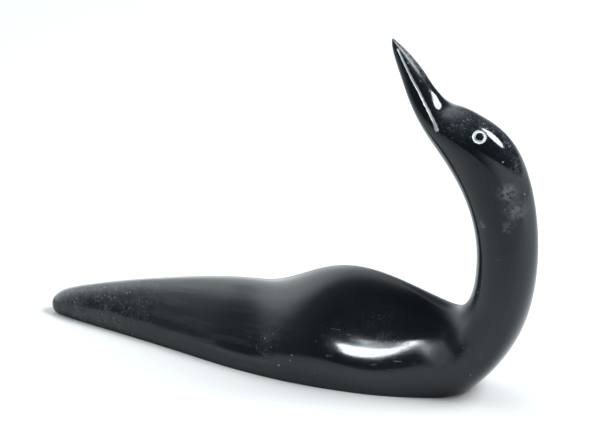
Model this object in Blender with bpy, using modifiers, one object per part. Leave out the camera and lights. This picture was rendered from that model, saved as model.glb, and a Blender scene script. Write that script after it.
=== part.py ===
"""A loon carved from one block of black soapstone.

The long low body lies flat on its sole, the neck rises at the breast, and the head is thrown back, so that
the beak points up over the back. The eyes and the mouth are thin lines cut into the polished stone.

Metres, +Z up. The origin is on the table, under the middle of the carving, and the breast faces +X.
"""
import math

import bmesh
import bpy
from mathutils import Matrix, Vector
from mathutils.bvhtree import BVHTree

NAME = "loon_carving"

# Driving sizes
LENGTH = 0.240         # tip of the tail to the front of the neck
HEIGHT = 0.161         # table to the tip of the beak
WIDTH = 0.053          # across the body at its widest
EDGE_ROUND = 0.0008    # softening of the edge round the sole
LINE_WIDTH = 0.0014    # the cut lines of the mouth and the eyes
LINE_DEPTH = 0.0005
EYE_WIDTH = 0.0064     # across the ring that is cut for each eye, over its outside

# The form, in hundredths of the length, the height and the width. Each row is one ring of the coarse cage:
# where the ring crosses the middle plane on the back and on the belly, as (along, up), how wide it is,
# how far its widest place lies below the middle, and how full it is above and below that place.
RINGS = (
    ("tail tip", (0.6, 5.0), (0.5, -0.3), 12, 0.00, 1.00, 1.00),
    ("tail", (2.7, 7.8), (2.7, -1.9), 20, 0.02, 0.97, 1.00),
    ("tail", (8.3, 10.7), (8.3, -3.7), 29, 0.05, 0.91, 1.00),
    ("tail", (16.7, 14.5), (16.7, -6.2), 41, 0.09, 0.85, 1.02),
    ("rump", (25.5, 17.8), (25.5, -8.7), 56, 0.12, 0.81, 1.04),
    ("rump", (34.0, 20.5), (34.0, -11.2), 72, 0.11, 0.83, 1.04),
    ("rump", (41.5, 22.2), (41.5, -13.0), 87, 0.12, 0.86, 1.04),
    ("saddle", (47.5, 22.4), (47.5, -14.3), 95, 0.13, 0.88, 1.00),
    ("wings", (53.0, 26.0), (53.0, -15.5), 100, 0.12, 0.90, 0.96),
    ("wings", (58.8, 30.4), (58.8, -15.8), 103, 0.10, 0.84, 0.94),
    ("wings", (65.0, 32.5), (65.0, -15.5), 101, 0.11, 0.70, 0.98),
    ("wings", (71.3, 31.2), (72.3, -13.6), 92, 0.11, 0.62, 1.12),
    ("shoulder", (77.1, 28.0), (80.0, -8.7), 72, 0.04, 0.74, 1.32),
    ("breast", (82.1, 24.9), (87.2, -2.2), 54, -0.02, 0.95, 1.48),
    ("breast", (85.6, 23.4), (93.6, 8.4), 54, 0.02, 1.02, 1.50),
    ("breast", (87.9, 28.2), (98.2, 21.1), 52, 0.02, 1.05, 1.32),
    ("neck", (88.8, 37.6), (100.0, 37.0), 48, 0.00, 1.09, 1.10),
    ("neck", (88.6, 48.4), (99.8, 51.5), 46, -0.04, 1.14, 0.96),
    ("neck", (86.2, 59.0), (98.2, 64.4), 43, -0.04, 1.20, 0.88),
    ("nape", (81.7, 68.0), (94.7, 74.7), 44, 0.09, 1.15, 1.08),
    ("head", (77.9, 75.5), (88.8, 81.1), 47, 0.03, 1.14, 0.80),
    ("brow", (75.2, 82.9), (80.6, 84.0), 32, 0.01, 1.17, 0.44),
    ("beak", (73.3, 89.8), (77.8, 91.0), 21, -0.02, 1.11, 1.00),
    ("beak", (71.5, 96.3), (73.7, 97.3), 11, 0.00, 1.04, 1.04),
    ("beak tip", (71.2, 99.0), (71.8, 99.3), 5, 0.00, 1.00, 1.00),
)
TAIL_END = (-0.1, 2.7)
BEAK_END = (71.3, 100.2)
SIDES = 8                  # points round each ring of the cage
SMOOTHING = 2              # levels of subdivision
# A smooth surface runs inside its cage, and by this much a ring of SIDES points is drawn outwards to make up
SWELL = 6 / (4 + 2 * math.cos(2 * math.pi / SIDES))

# Places of the cut lines: (along, up) in the same hundredths. A line is cut where a level ray, square to the
# middle plane, comes out of the stone there. The mouth runs from its corner to near the tip of the beak.
EYE_PLACE = (89.2, 77.7)
MOUTH_PLACES = ((81.6, 78.7), (80.8, 80.8), (79.0, 84.0), (77.3, 87.5), (75.7, 90.9), (74.0, 94.7), (72.7, 97.5))

STONE = {"colour": (0.012, 0.014, 0.016, 1), "roughness": 0.12, "metallic": 0.0}


def clear_scene():
    for item in list(bpy.data.objects):
        bpy.data.objects.remove(item, do_unlink=True)


def collection(name):
    made = bpy.data.collections.new(name)
    bpy.context.scene.collection.children.link(made)
    return made


def material(name, colour, roughness, metallic):
    made = bpy.data.materials.new(name)
    made.use_nodes = True
    shader = made.node_tree.nodes["Principled BSDF"]
    shader.inputs["Base Color"].default_value = colour
    shader.inputs["Roughness"].default_value = roughness
    shader.inputs["Metallic"].default_value = metallic
    made.diffuse_color = colour
    return made


def place(share):
    """A point of the middle plane from its shares of the length and the height."""
    along, up = share
    return Vector(((along / 100 - 0.5) * LENGTH, 0, up / 100 * HEIGHT))


def ring_points(back, belly, width, drop, above, below):
    """One ring of the cage, from the back round the near side to the belly and up the far side."""
    top, bottom = place(back), place(belly)
    half = width / 200 * WIDTH
    points = []
    for step in range(SIDES):
        turn = 2 * math.pi * step / SIDES
        down = 0.5 - 0.5 * SWELL * math.cos(turn) + drop * math.sin(turn) ** 2
        across = half * SWELL * math.sin(turn)
        if step in (1, SIDES - 1):
            across *= above
        if step in (SIDES // 2 - 1, SIDES // 2 + 1):
            across *= below
        points.append(top + (bottom - top) * down - Vector((0, across, 0)))
    return points


def make_body(into, stone):
    """The whole bird: a coarse cage of rings, smoothed by subdivision."""
    mesh = bpy.data.meshes.new(NAME)
    bm = bmesh.new()
    rings = [[bm.verts.new(p) for p in ring_points(*row[1:])] for row in RINGS]
    for ring, following in zip(rings, rings[1:]):
        for step in range(SIDES):
            after = (step + 1) % SIDES
            bm.faces.new((ring[step], following[step], following[after], ring[after]))
    for end, ring in ((TAIL_END, rings[0]), (BEAK_END, rings[-1])):
        tip = bm.verts.new(place(end))
        for step in range(SIDES):
            bm.faces.new((ring[step], ring[(step + 1) % SIDES], tip))
    bmesh.ops.recalc_face_normals(bm, faces=bm.faces)
    bm.to_mesh(mesh)
    bm.free()
    mesh.materials.append(stone)
    mesh.shade_smooth()
    body = bpy.data.objects.new(NAME, mesh)
    into.objects.link(body)
    smooth = body.modifiers.new("smooth form", "SUBSURF")
    smooth.levels = SMOOTHING
    smooth.render_levels = SMOOTHING
    return body


def add_cutter(into, name, mesh):
    cutter = bpy.data.objects.new(name, mesh)
    cutter.hide_render = True
    cutter.display_type = "WIRE"
    into.objects.link(cutter)
    return cutter


def cut(body, cutter):
    modifier = body.modifiers.new("cut " + cutter.name, "BOOLEAN")
    modifier.operation = "DIFFERENCE"
    modifier.solver = "EXACT"
    modifier.object = cutter


def cut_sole(body, cutters):
    """Everything below the table comes off, and the new edge is eased."""
    mesh = bpy.data.meshes.new("sole_cutter")
    bm = bmesh.new()
    bmesh.ops.create_cube(bm, size=1)
    size = Vector((1.5 * LENGTH, 2 * WIDTH, HEIGHT))
    bmesh.ops.scale(bm, verts=bm.verts, vec=size)
    bmesh.ops.translate(bm, verts=bm.verts, vec=(0, 0, -size.z / 2))
    bm.to_mesh(mesh)
    bm.free()
    cut(body, add_cutter(cutters, "sole_cutter", mesh))
    ease = body.modifiers.new("eased edge", "BEVEL")
    ease.width = EDGE_ROUND
    ease.segments = 2
    ease.limit_method = "ANGLE"
    ease.angle_limit = math.radians(50)


def surface_hit(tree, share, side):
    """Where the side of the stone lies over a point of the middle plane, and the outward normal there."""
    point, normal, _, _ = tree.ray_cast(place(share), Vector((0, side, 0)))
    return point, normal


def eye_cutter(into, tree, side):
    """A ring with a round section, sunk so far that it cuts a line of LINE_WIDTH."""
    point, normal = surface_hit(tree, EYE_PLACE, side)
    bpy.ops.mesh.primitive_torus_add(major_radius=(EYE_WIDTH - LINE_WIDTH) / 2, minor_radius=LINE_WIDTH / 2,
                                     major_segments=24, minor_segments=8)
    ring = bpy.context.object
    turned = normal.to_track_quat("Z", "Y").to_matrix().to_4x4()
    lift = normal * (LINE_WIDTH / 2 - LINE_DEPTH)
    mesh = ring.data
    mesh.transform(Matrix.Translation(point + lift) @ turned)
    bpy.data.objects.remove(ring)
    name = "eye_cutter_near" if side < 0 else "eye_cutter_far"
    return add_cutter(into, name, mesh)


def mouth_cutter(into, tree, side):
    """A round bar that follows the side of the beak from its root almost to the tip."""
    curve = bpy.data.curves.new("mouth_line", "CURVE")
    curve.dimensions = "3D"
    curve.bevel_depth = LINE_WIDTH / 2
    curve.bevel_resolution = 2
    curve.use_fill_caps = True
    spline = curve.splines.new("POLY")
    spline.points.add(len(MOUTH_PLACES) - 1)
    for knot, share in zip(spline.points, MOUTH_PLACES):
        point, normal = surface_hit(tree, share, side)
        knot.co = (*(point + normal * (LINE_WIDTH / 2 - LINE_DEPTH)), 1)
    bar = bpy.data.objects.new("mouth_line", curve)
    into.objects.link(bar)
    mesh = bpy.data.meshes.new_from_object(bar.evaluated_get(bpy.context.evaluated_depsgraph_get()))
    bpy.data.objects.remove(bar)
    bm = bmesh.new()
    bm.from_mesh(mesh)
    bmesh.ops.remove_doubles(bm, verts=bm.verts, dist=LINE_WIDTH / 1000)
    bmesh.ops.recalc_face_normals(bm, faces=bm.faces)
    bm.to_mesh(mesh)
    bm.free()
    name = "mouth_cutter_near" if side < 0 else "mouth_cutter_far"
    return add_cutter(into, name, mesh)


def main():
    clear_scene()
    carving = collection(NAME)
    cutters = collection("cutters")
    stone = material("black_soapstone", **STONE)
    body = make_body(carving, stone)
    graph = bpy.context.evaluated_depsgraph_get()
    tree = BVHTree.FromObject(body, graph)
    cut_sole(body, cutters)
    for side in (-1, 1):
        cut(body, eye_cutter(cutters, tree, side))
        cut(body, mouth_cutter(cutters, tree, side))


main()
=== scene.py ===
# %% [markdown]
# # A loon in polished black stone
#
# This lesson gives a small stone carving its looks. The solid that stands under it was made first, from the
# same few sizes, and stays as it is. Here a finer skin is laid over it: a smooth polished form, two cut eyes,
# two cut mouth lines, and the scuffs of years on a shelf.
#
# Black stone with a polish shows almost nothing of its own. What the eye reads is the room in it: the pale
# table along the foot, a dark room above that, and one or two lamps. So the form and the lights are made
# together, and both matter more than the colour of the stone.

# %%
import math

import bmesh
import bpy
import numpy as np
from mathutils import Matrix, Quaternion, Vector


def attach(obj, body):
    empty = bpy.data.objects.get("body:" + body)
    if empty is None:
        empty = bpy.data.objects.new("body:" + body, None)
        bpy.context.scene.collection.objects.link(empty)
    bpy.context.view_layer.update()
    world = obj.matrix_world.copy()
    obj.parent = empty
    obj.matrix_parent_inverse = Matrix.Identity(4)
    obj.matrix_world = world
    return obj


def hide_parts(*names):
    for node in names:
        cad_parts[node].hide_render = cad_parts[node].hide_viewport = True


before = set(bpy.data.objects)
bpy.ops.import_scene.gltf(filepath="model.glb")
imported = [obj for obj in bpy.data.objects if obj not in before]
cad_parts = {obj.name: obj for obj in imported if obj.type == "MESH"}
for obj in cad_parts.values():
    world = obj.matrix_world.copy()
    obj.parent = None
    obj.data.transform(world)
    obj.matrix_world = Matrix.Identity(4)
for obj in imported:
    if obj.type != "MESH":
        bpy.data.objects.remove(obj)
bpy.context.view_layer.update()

# %% [markdown]
# ## The sizes
#
# The carving is 240 mm long, 161 mm high and 53 mm wide. Everything else is a share of these three, in
# hundredths. Each row below is one ring of a coarse cage round the body, from the tail to the beak: where the
# ring crosses the middle plane on the back and on the belly, as (along, up), then how wide it is, how far its
# widest place lies below the middle, and how full it is above and below that place. The wings lean in like a
# roof above a round shoulder, the breast stays full down to the table, and the head has upright cheeks.

# %%
LENGTH, HEIGHT, WIDTH = 0.240, 0.161, 0.053
EDGE_ROUND = 0.0008
RINGS = (
    ("tail tip", (0.6, 5.0), (0.5, -0.3), 12, 0.00, 1.00, 1.00),
    ("tail", (2.7, 7.8), (2.7, -1.9), 20, 0.02, 0.97, 1.00),
    ("tail", (8.3, 10.7), (8.3, -3.7), 29, 0.05, 0.91, 1.00),
    ("tail", (16.7, 14.5), (16.7, -6.2), 41, 0.09, 0.85, 1.02),
    ("rump", (25.5, 17.8), (25.5, -8.7), 56, 0.12, 0.81, 1.04),
    ("rump", (34.0, 20.5), (34.0, -11.2), 72, 0.11, 0.83, 1.04),
    ("rump", (41.5, 22.2), (41.5, -13.0), 87, 0.12, 0.86, 1.04),
    ("saddle", (47.5, 22.4), (47.5, -14.3), 95, 0.13, 0.88, 1.00),
    ("wings", (53.0, 26.0), (53.0, -15.5), 100, 0.12, 0.90, 0.96),
    ("wings", (58.8, 30.4), (58.8, -15.8), 103, 0.10, 0.84, 0.94),
    ("wings", (65.0, 32.5), (65.0, -15.5), 101, 0.11, 0.70, 0.98),
    ("wings", (71.3, 31.2), (72.3, -13.6), 92, 0.11, 0.62, 1.12),
    ("shoulder", (77.1, 28.0), (80.0, -8.7), 72, 0.04, 0.74, 1.32),
    ("breast", (82.1, 24.9), (87.2, -2.2), 54, -0.02, 0.95, 1.48),
    ("breast", (85.6, 23.4), (93.6, 8.4), 54, 0.02, 1.02, 1.50),
    ("breast", (87.9, 28.2), (98.2, 21.1), 52, 0.02, 1.05, 1.32),
    ("neck", (88.8, 37.6), (100.0, 37.0), 48, 0.00, 1.09, 1.10),
    ("neck", (88.6, 48.4), (99.8, 51.5), 46, -0.04, 1.14, 0.96),
    ("neck", (86.2, 59.0), (98.2, 64.4), 43, -0.04, 1.20, 0.88),
    ("nape", (81.7, 68.0), (94.7, 74.7), 44, 0.09, 1.15, 1.08),
    ("head", (77.9, 75.5), (88.8, 81.1), 47, 0.03, 1.14, 0.80),
    ("brow", (75.2, 82.9), (80.6, 84.0), 32, 0.01, 1.17, 0.44),
    ("beak", (73.3, 89.8), (77.8, 91.0), 21, -0.02, 1.11, 1.00),
    ("beak", (71.5, 96.3), (73.7, 97.3), 11, 0.00, 1.04, 1.04),
    ("beak tip", (71.2, 99.0), (71.8, 99.3), 5, 0.00, 1.00, 1.00),
)
TAIL_END = (-0.1, 2.7)
BEAK_END = (71.3, 100.2)
SIDES = 8
SWELL = 6 / (4 + 2 * math.cos(2 * math.pi / SIDES))

# %% [markdown]
# ## From cage to smooth form
#
# A carver starts from a sawn block, takes the corners off, and then takes the new corners off again. The
# Subdivision Surface modifier works the same way, and on a cage of four-sided faces what it ends in is a
# cubic B-spline. Here that surface is worked out directly, so that points can be packed closely round the eyes
# and the beak and kept sparse on the plain back.


# %%
def place(share):
    """A point of the middle plane from its shares of the length and the height."""
    along, up = share
    return np.array([(along / 100 - 0.5) * LENGTH, 0.0, up / 100 * HEIGHT])


def cage_ring(back, belly, width, drop, above, below):
    top, bottom = place(back), place(belly)
    half = width / 200 * WIDTH
    points = []
    for step in range(SIDES):
        turn = 2 * math.pi * step / SIDES
        down = 0.5 - 0.5 * SWELL * math.cos(turn) + drop * math.sin(turn) ** 2
        across = half * SWELL * math.sin(turn)
        if step in (1, SIDES - 1):
            across *= above
        if step in (SIDES // 2 - 1, SIDES // 2 + 1):
            across *= below
        points.append(top + (bottom - top) * down - np.array([0.0, across, 0.0]))
    return points


def make_cage():
    """All rings in a row. Past each tip the next ring is seen from its other side, which closes the end round."""
    rings = [[place(TAIL_END)] * SIDES] + [cage_ring(*row[1:]) for row in RINGS] + [[place(BEAK_END)] * SIDES]
    rings = np.array(rings)
    return np.concatenate([np.roll(rings[1], SIDES // 2, axis=0)[None], rings, np.roll(rings[-2], SIDES // 2, axis=0)[None]])


CAGE = make_cage()
LAST = len(RINGS) + 1      # the number of the ring at the beak's tip; the tail's tip is 0


def weights(u):
    return np.stack([(1 - u) ** 3, 3 * u**3 - 6 * u**2 + 4, -3 * u**3 + 3 * u**2 + 3 * u + 1, u**3], -1) / 6


def surface(ring, turn):
    """Points of the smooth form. ring runs from 0 to LAST, turn from 0 on the back, round by the near side."""
    ring, turn = np.broadcast_arrays(np.asarray(ring, float), np.asarray(turn, float))
    first = np.clip(np.floor(ring).astype(int), 0, LAST - 1)
    side = turn / (2 * math.pi) * SIDES
    corner = np.floor(side).astype(int)
    along, round_ = weights(ring - first), weights(side - corner)
    out = np.zeros(ring.shape + (3,))
    for p in range(4):
        for q in range(4):
            out += (along[..., p] * round_[..., q])[..., None] * CAGE[first + p, (corner + q - 1) % SIDES]
    return out


def stand_flat(points):
    """Cuts the form off at the table and eases the edge that this leaves."""
    up = points[..., 2]
    eased = (up + EDGE_ROUND) ** 2 / (4 * EDGE_ROUND)
    points[..., 2] = np.where(up > EDGE_ROUND, up, np.where(up < -EDGE_ROUND, 0.0, eased))
    return points


print("the cage has", CAGE.shape[0] - 2, "rings of", SIDES, "points")

# %% [markdown]
# ## Where the points go
#
# The cut lines are about a millimetre and a half wide, so they need points every fifth of a millimetre. The
# plain flanks need far fewer. `spread` lays out numbers so that they crowd wherever the given weight is high.


# %%
def spread(low, high, count, weight):
    fine = np.linspace(low, high, 4000)
    grown = np.concatenate([[0], np.cumsum((weight(fine)[1:] + weight(fine)[:-1]) / 2)])
    return np.interp(np.linspace(0, grown[-1], count), grown, fine)


def bump(x, centre, reach):
    return np.exp(-((x - centre) / reach) ** 2)


STATIONS = 420
COLUMNS = 232
EYE_RING = 20.65           # the eye lies on the head between these rings of the cage
stations = spread(0.0, LAST, STATIONS, lambda t: 1.0 + 1.8 * (t > 19.3) + 6 * bump(t, EYE_RING, 0.45) + 1.5 * bump(t, 0, 0.8))
half_turn = spread(0.0, math.pi, COLUMNS // 2 + 1, lambda a: 1 + 1.6 * bump(np.degrees(a), 118, 34))
turns = np.concatenate([half_turn, 2 * math.pi - half_turn[-2:0:-1]])
ring_at, turn_at = np.meshgrid(stations[1:-1], turns, indexing="ij")
skin = surface(ring_at, turn_at)
print("the skin has", skin.shape[0], "stations of", skin.shape[1], "points")

# %% [markdown]
# ## The cut lines
#
# On the real bird the eyes and the mouth are scratched through the polish with a point. The bare stone under
# it is pale and dull. Each line is given by a few places on the side of the head, and a level line from there
# out of the stone finds the surface. The depth goes into the mesh, and how much of a point is cut is kept as a
# number on the mesh, so that the finish can turn pale just there.

# %%
LINE_WIDTH = 0.0014
LINE_DEPTH = 0.0005
EYE_WIDTH = 0.0064
EYE_PLACE = (89.2, 77.7)
MOUTH_PLACES = ((81.6, 78.7), (80.8, 80.8), (79.0, 84.0), (77.3, 87.5), (75.7, 90.9), (74.0, 94.7), (72.7, 97.5))
finder = surface(*np.meshgrid(np.linspace(19, LAST, 700), np.linspace(0.2, math.pi - 0.2, 420), indexing="ij"))


def near_side(share):
    """The point on the near side of the head that lies level with a place on the middle plane."""
    gap = (finder[..., 0] - place(share)[0]) ** 2 + (finder[..., 2] - place(share)[2]) ** 2
    return finder[np.unravel_index(gap.argmin(), gap.shape)]


def through(points, count):
    """A smooth line through some points, as many short steps."""
    points = np.array(points)
    padded = np.concatenate([[2 * points[0] - points[1]], points, [2 * points[-1] - points[-2]]])
    out = []
    for s in np.linspace(0, len(points) - 1 - 1e-9, count):
        k, u = int(s), s - int(s)
        a, b, c, d = padded[k:k + 4]
        out.append(0.5 * (2 * b + (c - a) * u + (2 * a - 5 * b + 4 * c - d) * u**2 + (3 * b - a - 3 * c + d) * u**3))
    return np.array(out)


eye = near_side(EYE_PLACE)
mouth = through([near_side(share) for share in MOUTH_PLACES], 70)
print("the eye is at", (1000 * eye).round(1), "mm, and the mouth is", round(1000 * np.linalg.norm(np.diff(mouth, axis=0), axis=1).sum(), 1), "mm long")

# %%
def step(x, low, high):
    u = np.clip((x - low) / (high - low), 0, 1)
    return u * u * (3 - 2 * u)


def wobble(points, size, seed):
    """Smooth, repeatable unevenness between about -1 and 1."""
    random = np.random.default_rng(seed)
    total = np.zeros(points.shape[:-1])
    for _ in range(8):
        way = random.normal(size=3)
        way /= np.linalg.norm(way) * size / (2 * math.pi)
        total += np.sin(points @ way + random.uniform(0, 2 * math.pi))
    return total / 2.8


def outward(points):
    """The direction out of the stone at every point of the skin."""
    wrapped = np.concatenate([points[:, -1:], points, points[:, :1]], axis=1)
    normal = np.cross(np.gradient(points, axis=0), (wrapped[:, 2:] - wrapped[:, :-2]) / 2)
    normal /= np.linalg.norm(normal, axis=-1, keepdims=True) + 1e-15
    inside = points.mean(axis=1, keepdims=True)
    return normal * np.sign((normal * (points - inside)).sum(-1).mean())


normals = outward(skin)
mirrored = skin.copy()
mirrored[..., 1] = -np.abs(mirrored[..., 1])
uneven = wobble(skin, 0.0022, 4)
cut = np.zeros(skin.shape[:-1])
depth = np.zeros(skin.shape[:-1])

from_eye = np.linalg.norm(mirrored - eye, axis=-1)
off_ring = np.abs(from_eye - (EYE_WIDTH - LINE_WIDTH) / 2)
lean = ((mirrored - eye) @ np.array([-0.7, 0.0, -0.7])) / np.maximum(from_eye, 1e-6)
inward = from_eye < (EYE_WIDTH - LINE_WIDTH) / 2
half_line = LINE_WIDTH / 2 * (1 + 0.14 * uneven + 0.08 * lean) * np.where(inward, 1.12 + 0.25 * lean, 1)
depth = np.maximum(depth, LINE_DEPTH * (1 - step(off_ring, 0.15 * half_line, 1.15 * half_line)))
cut = np.maximum(cut, 1 - step(off_ring, 0.64 * half_line, 0.96 * half_line))

head = ring_at[:, 0] > 20.4
off_mouth = np.full(skin.shape[:-1], 1.0)
along_mouth = np.zeros(skin.shape[:-1])
for k, (a, b) in enumerate(zip(mouth, mouth[1:])):
    share = np.clip(((mirrored[head] - a) @ (b - a)) / ((b - a) @ (b - a)), 0, 1)
    gap = np.linalg.norm(mirrored[head] - a - share[..., None] * (b - a), axis=-1)
    closer = gap < off_mouth[head]
    along_mouth[head] = np.where(closer, (k + share) / (len(mouth) - 1), along_mouth[head])
    off_mouth[head] = np.minimum(off_mouth[head], gap)
half_line = LINE_WIDTH / 2 * (0.98 - 0.42 * along_mouth + 0.35 * bump(along_mouth, 0, 0.05)) * (1 + 0.12 * uneven)
depth = np.maximum(depth, LINE_DEPTH * (1 - 0.4 * along_mouth) * (1 - step(off_mouth, 0.15 * half_line, 1.15 * half_line)))
cut = np.maximum(cut, 1 - step(off_mouth, 0.80 * half_line, 1.10 * half_line))
DENTS = (                  # place, reach and depth in millimetres, and how much the way across the bird counts
    ((85.5, -11.5, 30.0), 7.6, 1.2, 1.0),
    ((77.0, 0.0, 135.0), 3.6, 1.0, 0.5),
    ((85.0, 0.0, 132.5), 5.0, -0.45, 0.5),
)
for centre, reach, dent, across in DENTS:
    away = np.linalg.norm((mirrored * 1000 - np.array(centre)) * np.array([1.0, across, 1.0]), axis=-1)
    depth = depth + dent / 1000 * bump(away, 0, reach)
skin = skin - normals * depth[..., None]
print("deepest cut", round(1000 * depth.max(), 2), "mm")

# %% [markdown]
# ## Years on a shelf
#
# Soapstone is soft. Where the bird is lifted and where it rubs, the polish is dulled: along the top of the
# tail, on the crown, in one patch on the neck, and on the upper edge of the beak. The paler colour along the
# beak's upper edge is wear and a painted highlight together. These regions are laid on the mesh as a second
# number. The finish breaks them up into fine mottling.

# %%
SCUFFS = (                 # place in millimetres, reach in millimetres, strength
    ((-105, -4, 13), 14, 0.8),
    ((-88, -5, 16), 13, 0.9),
    ((-72, -8, 18), 12, 0.6),
    ((83, -6, 130), 7.5, 0.8),
    ((96, 0, 127), 6, 0.7),
    ((105, 0, 121), 6, 0.9),
    ((110, -3, 113), 5, 0.6),
    ((108.5, -10.2, 102), 4, 1.0),
    ((109.8, -10.6, 95), 4.5, 0.6),
    ((54, -18, 31), 9, 0.20),
    ((1, -22, 15), 8, 0.4),
    ((92, -16, 24), 9, 0.15),
)
SMUDGES = (
    ((107.8, -9.4, 101.6), 2.8, 1.0), ((111.6, -8.6, 93.1), 3.8, 0.45),
    ((108.4, -11.0, 86.4), 1.8, 0.65), ((97.5, -11.5, 85.5), 1.5, 0.6),
)


def patches(table):
    """A number for every point: the strongest of some soft round patches."""
    total = np.zeros(skin.shape[:-1])
    for centre, reach, strength in table:
        total = np.maximum(total, strength * bump(np.linalg.norm(mirrored * 1000 - np.array(centre), axis=-1), 0, reach))
    return total


scuffed, smudged = patches(SCUFFS), patches(SMUDGES)
# Along the top of the beak: wear, and a painted highlight along the ridge.
beak_wear_and_highlight = step(ring_at, 22.3, 24.2) * bump(np.degrees(turn_at), 180, 34)
tip_wear = step(ring_at, 21.8, 24.0)
handled = bump(np.degrees(np.minimum(turn_at, 2 * math.pi - turn_at)), 0, 36) * step(ring_at, 7.5, 10.0) * (1 - step(ring_at, 12.0, 13.5))
hollow = np.maximum(bump(np.linalg.norm(mirrored - np.array([0.088, -0.006, 0.040]), axis=-1), 0, 0.010),
                    0.85 * bump(np.linalg.norm(mirrored - np.array([0.0825, -0.0152, 0.0215]), axis=-1), 0, 0.0068))
off_back = np.degrees(np.minimum(turn_at, 2 * math.pi - turn_at))
filed = step(ring_at, 1.0, 2.5) * (1 - step(ring_at, 8.5, 10.0)) * (1 - step(off_back, 72, 100))
print("scuffed share of the points", round(float((scuffed > 0.3).mean()), 3))

# %% [markdown]
# ## One closed skin
#
# The points become one closed mesh: rings of four-sided faces, and a fan of triangles at each tip.


# %%
def close_skin(name, rows, tips):
    """Rows of points between a first and a last tip become one closed, smooth mesh object."""
    stations_, columns = rows.shape[:2]
    verts = [tuple(tips[0])] + [tuple(p) for p in rows.reshape(-1, 3)] + [tuple(tips[1])]
    faces = []
    for j in range(columns):
        k = (j + 1) % columns
        faces.append((0, 1 + k, 1 + j))
        faces.append((len(verts) - 1, 1 + (stations_ - 1) * columns + j, 1 + (stations_ - 1) * columns + k))
    for i in range(stations_ - 1):
        base, above = 1 + i * columns, 1 + (i + 1) * columns
        faces += [(base + j, base + (j + 1) % columns, above + (j + 1) % columns, above + j) for j in range(columns)]
    mesh = bpy.data.meshes.new(name)
    mesh.from_pydata(verts, [], faces)
    bm = bmesh.new()
    bm.from_mesh(mesh)
    bmesh.ops.recalc_face_normals(bm, faces=bm.faces)
    bm.to_mesh(mesh)
    bm.free()
    mesh.shade_smooth()
    made = bpy.data.objects.new(name, mesh)
    bpy.context.scene.collection.objects.link(made)
    return made


def number_on(mesh, name, values):
    layer = mesh.attributes.new(name, "FLOAT", "POINT")
    layer.data.foreach_set("value", np.concatenate([[0.0], values.reshape(-1), [0.0]]).astype(np.float32))


skin = stand_flat(skin)
tips = stand_flat(np.array([surface(0.0, 0.0), surface(float(LAST), 0.0)]))
tips[:, 1] = 0.0
loon = close_skin("loon", skin, tips)
number_on(loon.data, "cut", cut)
number_on(loon.data, "scuffed", scuffed)
number_on(loon.data, "beak_wear_and_highlight", beak_wear_and_highlight)
number_on(loon.data, "tip_wear", tip_wear)
number_on(loon.data, "handled", handled)
number_on(loon.data, "hollow", hollow)
number_on(loon.data, "filed", filed)
number_on(loon.data, "smudged", smudged)
print("triangles:", sum(len(p.vertices) - 2 for p in loon.data.polygons))

# %% [markdown]
# ## The finish
#
# Polished soapstone: nearly black with a hint of blue, and a clear shine. Base Color stays very dark, and
# IOR and Roughness do most of the work. Noise in object space makes the polish uneven, dusts the scuffed regions with pale flecks
# and lays in a few fine scratches. In the cut lines the finish goes over to pale, dry stone.

# %%
stone = bpy.data.materials.new("polished_black_soapstone")
stone.use_nodes = True
tree = stone.node_tree
shader = tree.nodes["Principled BSDF"]
shader.inputs["IOR"].default_value = 1.45
shader.inputs["Specular Tint"].default_value = (0.93, 0.98, 1.0, 1)


def node(kind, **inputs):
    made = tree.nodes.new(kind)
    for key, value in inputs.items():
        made.inputs[key.replace("_", " ")].default_value = value
    return made


def link(source, target):
    tree.links.new(source, target)


def attribute(name):
    made = tree.nodes.new("ShaderNodeAttribute")
    made.attribute_name = name
    return made.outputs["Fac"]


def ramp(value, low, high, to_low=0.0, to_high=1.0):
    made = tree.nodes.new("ShaderNodeMapRange")
    made.interpolation_type = "SMOOTHSTEP"
    link(value, made.inputs["Value"])
    for key, number in (("From Min", low), ("From Max", high), ("To Min", to_low), ("To Max", to_high)):
        made.inputs[key].default_value = number
    return made.outputs["Result"]


def maths(operation, a, b):
    made = tree.nodes.new("ShaderNodeMath")
    made.operation = operation
    for socket, value in zip(made.inputs, (a, b)):
        if isinstance(value, (int, float)):
            socket.default_value = value
        else:
            link(value, socket)
    return made.outputs["Value"]


def blend(share, a, b):
    """Colour a going over to colour b."""
    made = tree.nodes.new("ShaderNodeMix")
    made.data_type = "RGBA"
    link(share, made.inputs["Factor"])
    for key, value in (("A", a), ("B", b)):
        socket = [s for s in made.inputs if s.name == key and s.type == "RGBA"][0]
        if isinstance(value, tuple):
            socket.default_value = value
        else:
            link(value, socket)
    return [s for s in made.outputs if s.type == "RGBA"][0]


where = tree.nodes.new("ShaderNodeTexCoord").outputs["Object"]


def noise(scale, detail=2.0, roughness=0.5, vector=None):
    made = node("ShaderNodeTexNoise", Scale=scale, Detail=detail, Roughness=roughness)
    link(vector or where, made.inputs["Vector"])
    return made.outputs["Fac"]


def stretched(scale, turn):
    made = tree.nodes.new("ShaderNodeMapping")
    link(where, made.inputs["Vector"])
    made.inputs["Scale"].default_value = scale
    made.inputs["Rotation"].default_value = turn
    return made.outputs["Vector"]


cut_here = attribute("cut")
scuffed_here = attribute("scuffed")
beak_wear_and_highlight_here = attribute("beak_wear_and_highlight")
tip_here = attribute("tip_wear")
handled_here = attribute("handled")
hollow_here = attribute("hollow")
filed_here = attribute("filed")

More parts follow.
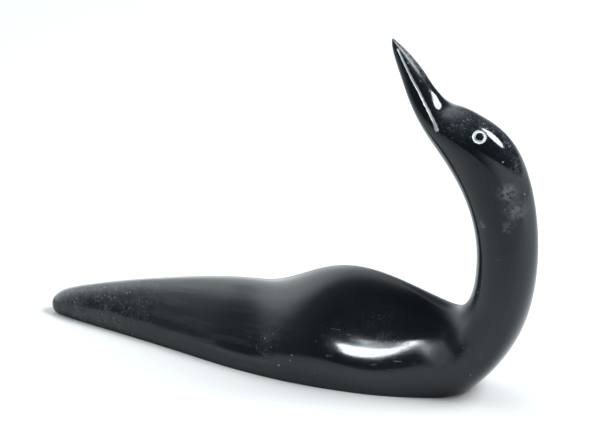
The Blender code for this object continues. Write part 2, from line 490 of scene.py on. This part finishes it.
fleck = ramp(noise(900, 5.0, 0.72), 0.44, 0.72)
cloud = ramp(noise(240, 4.0, 0.6), 0.38, 0.62)
mottle = maths("MULTIPLY", maths("MULTIPLY", fleck, cloud), scuffed_here)
dots = node("ShaderNodeTexVoronoi", Scale=210.0, Randomness=1.0)
link(where, dots.inputs["Vector"])
chance = ramp(noise(34, 1.0), 0.50, 0.66)
specks = maths("MULTIPLY", ramp(dots.outputs["Distance"], 0.10, 0.05), chance)
small = node("ShaderNodeTexVoronoi", Scale=620.0, Randomness=1.0)
link(where, small.inputs["Vector"])
grains = maths("MULTIPLY", ramp(small.outputs["Distance"], 0.20, 0.10), ramp(noise(300, 2.0), 0.46, 0.60))
grains = maths("MULTIPLY", grains, maths("MINIMUM", maths("MULTIPLY", scuffed_here, 3.0), 1.0))
CHIPS = (                  # place and size in millimetres
    ((63.9, -4.6, 43.9), 0.6), ((71.1, -10.8, 37.6), 0.6), ((74, -12.9, 34.7), 0.7), ((61.7, -17.9, 29.6), 0.5),
    ((51.8, -19.5, 28.3), 0.5), ((0.2, -21.5, 17.5), 0.6), ((8.6, -25.5, 7.4), 0.6), ((104.8, -8.4, 115.1), 0.55),
    ((59.5, -3.1, 151.8), 0.5), ((65.3, -3.7, 144.6), 0.5), ((-79.3, -9.7, 12.6), 0.6),
)
chips = 0.0
for centre, size in CHIPS:
    away = tree.nodes.new("ShaderNodeVectorMath")
    away.operation = "DISTANCE"
    link(where, away.inputs[0])
    away.inputs[1].default_value = [v / 1000 for v in centre]
    chips = maths("MAXIMUM", ramp(away.outputs["Value"], size / 1000, size / 2000), chips)
chips = maths("MULTIPLY", chips, ramp(noise(900, 2.0), 0.30, 0.55))
tone = ramp(noise(45, 5.0, 0.65), 0.35, 0.7)
beak_wear_and_painted_highlight = maths("MULTIPLY", beak_wear_and_highlight_here, ramp(noise(700, 4.0, 0.65), 0.38, 0.66))

colour = blend(tone, (0.0030, 0.0046, 0.0068, 1), (0.0050, 0.0070, 0.0094, 1))
haze = maths("MULTIPLY", scuffed_here, ramp(noise(150, 4.0, 0.6), 0.38, 0.68))
strokes = noise(1.0, 2.0, 0.5, stretched((10, 200, 280), (0, 0, 0)))
dull_strokes = maths("MULTIPLY", ramp(strokes, 0.46, 0.66), filed_here)
colour = blend(maths("MULTIPLY", dull_strokes, 0.5), colour, (0.022, 0.025, 0.028, 1))
colour = blend(maths("MULTIPLY", haze, 0.30), colour, (0.05, 0.06, 0.07, 1))
smudge = maths("MULTIPLY", attribute("smudged"), ramp(noise(420, 3.0, 0.6), 0.36, 0.60))
colour = blend(maths("MULTIPLY", smudge, 0.85), colour, (0.19, 0.21, 0.215, 1))
colour = blend(maths("MULTIPLY", mottle, 0.9), colour, (0.12, 0.135, 0.145, 1))
colour = blend(maths("MULTIPLY", specks, 0.8), colour, (0.20, 0.21, 0.20, 1))
colour = blend(maths("MULTIPLY", grains, 0.7), colour, (0.16, 0.18, 0.18, 1))
colour = blend(maths("MULTIPLY", chips, 0.8), colour, (0.22, 0.23, 0.21, 1))
# The beak's upper edge turns pale grey: wear, and a painted highlight along the ridge.
colour = blend(maths("MULTIPLY", beak_wear_and_painted_highlight, 0.6), colour, (0.22, 0.24, 0.25, 1))
dry = blend(noise(1600, 3.0, 0.6), (0.40, 0.43, 0.43, 1), (0.66, 0.70, 0.69, 1))
colour = blend(cut_here, colour, dry)
link(colour, shader.inputs["Base Color"])

shine = ramp(noise(60, 5.0, 0.6), 0.3, 0.75, 0.065, 0.11)
shine = maths("ADD", shine, maths("MULTIPLY", scuffed_here, 0.07))
shine = maths("ADD", shine, maths("MULTIPLY", handled_here, 0.30))
shine = maths("ADD", shine, maths("MULTIPLY", hollow_here, 0.42))
shine = maths("ADD", shine, maths("MULTIPLY", mottle, 0.30))
shine = maths("ADD", shine, maths("MULTIPLY", beak_wear_and_painted_highlight, 0.25))
shine = maths("ADD", shine, maths("MULTIPLY", tip_here, 0.26))
shine = maths("MAXIMUM", shine, maths("MULTIPLY", cut_here, 0.8))
link(shine, shader.inputs["Roughness"])

long_scratch = ramp(noise(1.0, 1.0, 0.5, stretched((160, 160, 2600), (0.2, 0.1, 0.9))), 0.70, 0.74)
cross_scratch = ramp(noise(1.0, 1.0, 0.5, stretched((2400, 150, 150), (0.1, 0.35, 0.2))), 0.71, 0.75)
relief = maths("ADD", maths("MULTIPLY", noise(1800, 3.0, 0.6), maths("ADD", maths("MULTIPLY", scuffed_here, 0.05), 0.006)),
               maths("MULTIPLY", maths("ADD", long_scratch, cross_scratch), -0.03))
relief = maths("ADD", relief, maths("MULTIPLY", maths("MULTIPLY", noise(2300, 2.0, 0.6), cut_here), 0.35))
relief = maths("ADD", relief, maths("MULTIPLY", noise(60, 2.0, 0.5), 0.08))
relief = maths("ADD", relief, maths("MULTIPLY", maths("MULTIPLY", maths("SUBTRACT", strokes, 0.5), filed_here), 0.6))
raise_ = node("ShaderNodeBump", Strength=0.5, Distance=0.0004)
link(relief, raise_.inputs["Height"])
link(raise_.outputs["Normal"], shader.inputs["Normal"])
loon.data.materials.append(stone)
print("the finish has", len(tree.nodes), "nodes")

# %% [markdown]
# ## The table
#
# A pale table reaches half a metre in front of the bird and ends there. Beyond it the room is dark, and that
# edge is the line between grey and black that runs along the flank. Past the edge there is floor of the same
# colour, which the lens sees and the polish doesn't.


# %%
def plain(name, colour, roughness):
    made = bpy.data.materials.new(name)
    made.use_nodes = True
    made.node_tree.nodes["Principled BSDF"].inputs["Base Color"].default_value = (*colour, 1)
    made.node_tree.nodes["Principled BSDF"].inputs["Roughness"].default_value = roughness
    made.node_tree.nodes["Principled BSDF"].inputs["Specular IOR Level"].default_value = 0.1
    return made


def flat_piece(name, low, high, finish):
    mesh = bpy.data.meshes.new(name)
    mesh.from_pydata([(low[0], low[1], 0), (high[0], low[1], 0), (high[0], high[1], 0), (low[0], high[1], 0)], [], [(0, 1, 2, 3)])
    mesh.materials.append(finish)
    made = bpy.data.objects.new(name, mesh)
    bpy.context.scene.collection.objects.link(made)
    return made


TABLE_FRONT, TABLE_RIGHT, FAR = -0.50, 1.80, 4.0
paper = plain("white_table", (0.500, 0.506, 0.508), 0.7)
# Nearer the front the table is painted greyer, from 0.33 at 0.30 m in front of the bird to the full pale colour at 0.10
# m: painted shade, which the lower flanks and the neck mirror.
spot = paper.node_tree.nodes.new("ShaderNodeTexCoord")
parts = paper.node_tree.nodes.new("ShaderNodeSeparateXYZ")
painted_front_shade = paper.node_tree.nodes.new("ShaderNodeMapRange")
mix = paper.node_tree.nodes.new("ShaderNodeMix")
mix.data_type = "RGBA"
painted_front_shade.inputs["From Min"].default_value, painted_front_shade.inputs["From Max"].default_value = -0.30, -0.10
paper.node_tree.links.new(spot.outputs["Object"], parts.inputs[0])
paper.node_tree.links.new(parts.outputs["Y"], painted_front_shade.inputs["Value"])
paper.node_tree.links.new(painted_front_shade.outputs["Result"], mix.inputs["Factor"])
two = [k for k in mix.inputs if k.type == "RGBA"]
two[0].default_value, two[1].default_value = (0.33, 0.337, 0.342, 1), (0.500, 0.506, 0.508, 1)
paper.node_tree.links.new([k for k in mix.outputs if k.type == "RGBA"][0], paper.node_tree.nodes["Principled BSDF"].inputs["Base Color"])
flat_piece("table", (-FAR, TABLE_FRONT), (TABLE_RIGHT, FAR), paper)
flat_piece("floor_front", (-FAR, -FAR), (FAR, TABLE_FRONT), paper).visible_glossy = False
flat_piece("floor_side", (TABLE_RIGHT, TABLE_FRONT), (FAR, FAR), paper).visible_glossy = False

# %% [markdown]
# ## The room
#
# White cloth hangs behind the bird and round to its tail, and lightens the tops. The ceiling is pale, and the
# side where the lens stands is dark. The world is painted with just these three, by direction: how far round
# a direction lies from the middle of the cloth, and how high it is.

# %%
CLOTH_MIDDLE = math.radians(-112)    # azimuth 0 is in front of the table, 90 is on the breast's side
world = bpy.data.worlds.new("room")
bpy.context.scene.world = world
world.use_nodes = True
room = world.node_tree
surroundings = room.nodes["Background"]


def direction(azimuth, elevation):
    """Azimuth 0 points to the front of the table, 90 to the breast's side; elevation is above the horizon."""
    a, e = math.radians(azimuth), math.radians(elevation)
    return Vector((math.sin(a) * math.cos(e), -math.cos(a) * math.cos(e), math.sin(e)))


def room_node(kind, operation=None, values=(), links=()):
    made = room.nodes.new(kind)
    if operation:
        made.operation = operation
    for k, value in values:
        made.inputs[k].default_value = value
    for source, k in links:
        room.links.new(source, made.inputs[k])
    return made


def room_ramp(value, low, high, to_low, to_high):
    made = room_node("ShaderNodeMapRange", None, ((1, low), (2, high), (3, to_low), (4, to_high)), ((value, 0),))
    made.interpolation_type = "SMOOTHSTEP"
    return made.outputs[0]


def room_maths(operation, a, b):
    pairs = [(k, v) for k, v in enumerate((a, b)) if isinstance(v, (int, float))]
    joined = [(v, k) for k, v in enumerate((a, b)) if not isinstance(v, (int, float))]
    return room_node("ShaderNodeMath", operation, pairs, joined).outputs[0]


around = room_node("ShaderNodeTexCoord").outputs["Generated"]
way = room_node("ShaderNodeSeparateXYZ", None, (), ((around, 0),))
x, y, z = way.outputs
level = room_maths("MAXIMUM", room_maths("SQRT", room_maths("ADD", room_maths("MULTIPLY", x, x), room_maths("MULTIPLY", y, y)), 0), 0.001)
facing = room_maths("ADD", room_maths("MULTIPLY", x, math.sin(CLOTH_MIDDLE)), room_maths("MULTIPLY", y, -math.cos(CLOTH_MIDDLE)))
off_middle = room_maths("ARCCOSINE", room_maths("MAXIMUM", room_maths("MINIMUM", room_maths("DIVIDE", facing, level), 1), -1), 0)
height = room_maths("ARCSINE", z, 0)
cloth = room_ramp(off_middle, math.radians(30), math.radians(74), 3.1, 0.0)
cloth = room_maths("MULTIPLY", cloth, room_ramp(height, math.radians(50), math.radians(80), 1.0, 0.0))
towards = room_node("ShaderNodeVectorMath", "DOT_PRODUCT", ((1, direction(-125, 65)),), ((around, 0),)).outputs["Value"]
off_panel = room_maths("ARCCOSINE", room_maths("MINIMUM", towards, 1), 0)
panel = room_ramp(off_panel, math.radians(18), math.radians(38), 2.2, 0.0)
off_right = room_maths("ARCCOSINE", room_maths("MAXIMUM", room_maths("MINIMUM", room_maths("DIVIDE", x, level), 1), -1), 0)
board = room_ramp(off_right, math.radians(50), math.radians(95), 1.5, 0.0)
board = room_maths("MULTIPLY", board, room_ramp(height, math.radians(3), math.radians(8), 1.0, 0.0))
skirt = room_maths("MULTIPLY", room_ramp(off_middle, math.radians(60), math.radians(117), 0.36, 0.0),
                   room_ramp(height, math.radians(50), math.radians(75), 1.0, 0.0))
skirt = room_maths("MULTIPLY", skirt, room_ramp(height, math.radians(2), math.radians(22), 0.5, 1.0))
glow = room_maths("ADD", room_maths("ADD", room_maths("MAXIMUM", cloth, panel), board), room_maths("ADD", skirt, 0.06))
lens_sees = room_node("ShaderNodeLightPath").outputs["Is Camera Ray"]
glow = room_maths("ADD", room_maths("MULTIPLY", glow, room_maths("SUBTRACT", 1, lens_sees)), lens_sees)
surroundings.inputs["Color"].default_value = (0.955, 0.985, 1.0, 1)
room.links.new(glow, surroundings.inputs["Strength"])
bpy.context.scene.view_settings.view_transform = "Standard"

# %% [markdown]
# ## Lamps
#
# Three soft lamps. The one in front is low and draws the long streak on the wing. A dark card above its
# light keeps it off the head. The one on the breast's side makes the spot behind the eye and the small spot on
# the brow, and the third hangs high over the table's right side and lights the table without showing in the polish.


# %%
def softbox(name, aim, azimuth, elevation, distance, size, power, roll=0):
    lamp = bpy.data.lights.new(name, "AREA")
    lamp.shape = "ELLIPSE"
    lamp.size, lamp.size_y = size
    lamp.energy = power
    lamp.color = (0.95, 0.98, 1.0)
    made = bpy.data.objects.new(name, lamp)
    way_out = direction(azimuth, elevation)
    made.location = Vector(aim) + way_out * distance
    made.rotation_mode = "QUATERNION"
    made.rotation_quaternion = way_out.to_track_quat("Z", "Y") @ Quaternion((0, 0, 1), math.radians(roll))
    bpy.context.scene.collection.objects.link(made)
    made.visible_camera = False
    return made


WINDOW = (                 # corners, in millimetres to the right and up from the middle of its plane
    (-65, -15), (-55, -55), (-40, -90), (0, -90), (20, -70), (32, -40), (38, 10), (45, 55), (60, 100), (90, 165),
    (100, 220), (60, 210), (28, 145), (17, 90), (17, 60), (22, 35), (16, 20), (-5, 5), (-50, 0),
)
out_of = direction(-3, 13.5)
rightwards = Vector((0, 0, 1)).cross(out_of).normalized()
upwards = out_of.cross(rightwards)
middle = Vector((0.055, -0.02, 0.02)) + out_of * 0.9
window = bpy.data.meshes.new("window")
window.from_pydata([middle + rightwards * (u / 1000) + upwards * (v / 1000) for u, v in WINDOW], [], [range(len(WINDOW))])
daylight = plain("daylight", (0, 0, 0), 1.0)
daylight.node_tree.nodes["Principled BSDF"].inputs["Emission Color"].default_value = (0.95, 0.98, 1.0, 1)
daylight.node_tree.nodes["Principled BSDF"].inputs["Emission Strength"].default_value = 46
window.materials.append(daylight)
window = bpy.data.objects.new("window", window)
bpy.context.scene.collection.objects.link(window)
window.visible_camera = False
softbox("right_lamp", (0.095, 0, 0.12), 106, 52, 1.6, (0.90, 0.60), 44, 50)
softbox("table_lamp", (1.0, 0, 0), 90, 89, 0.7, (0.6, 0.6), 7).visible_glossy = False
card = bpy.data.meshes.new("dark_card")
card.from_pydata([(-0.03, -0.27, 0.108), (0.14, -0.27, 0.108), (0.14, -0.27, 0.26), (-0.03, -0.27, 0.26)], [], [(0, 1, 2, 3)])
black = plain("black_card", (0.01, 0.01, 0.01), 0.9)
# The card is near black and glows faintly in the room's colour: painted light, where the polish mirrors the card.
black.node_tree.nodes["Principled BSDF"].inputs["Emission Color"].default_value = (0.955, 0.985, 1.0, 1)
black.node_tree.nodes["Principled BSDF"].inputs["Emission Strength"].default_value = 0.10
card.materials.append(black)
card = bpy.data.objects.new("dark_card", card)
bpy.context.scene.collection.objects.link(card)
card.visible_camera = False

# %% [markdown]
# ## The camera
#
# A long lens from a metre away, a little to the breast's side and looking down by 24 degrees.

# %%
lens = bpy.data.cameras.new("camera")
lens.lens = 135
lens.sensor_width = 36
lens.clip_start, lens.clip_end = 0.05, 20
camera = bpy.data.objects.new("camera", lens)
bpy.context.scene.collection.objects.link(camera)
target = Vector((0.00646, 0, 0.06814))
camera.location = target + direction(22, 24) * 1.0
camera.rotation_mode = "QUATERNION"
camera.rotation_quaternion = direction(22, 24).to_track_quat("Z", "Y")
bpy.context.scene.camera = camera

# %% [markdown]
# ## Laid over the solid
#
# The skin stands for the solid in pictures, and the solid keeps the weight and the collisions.

# %%
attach(loon, "root")
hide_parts("loon_carving")
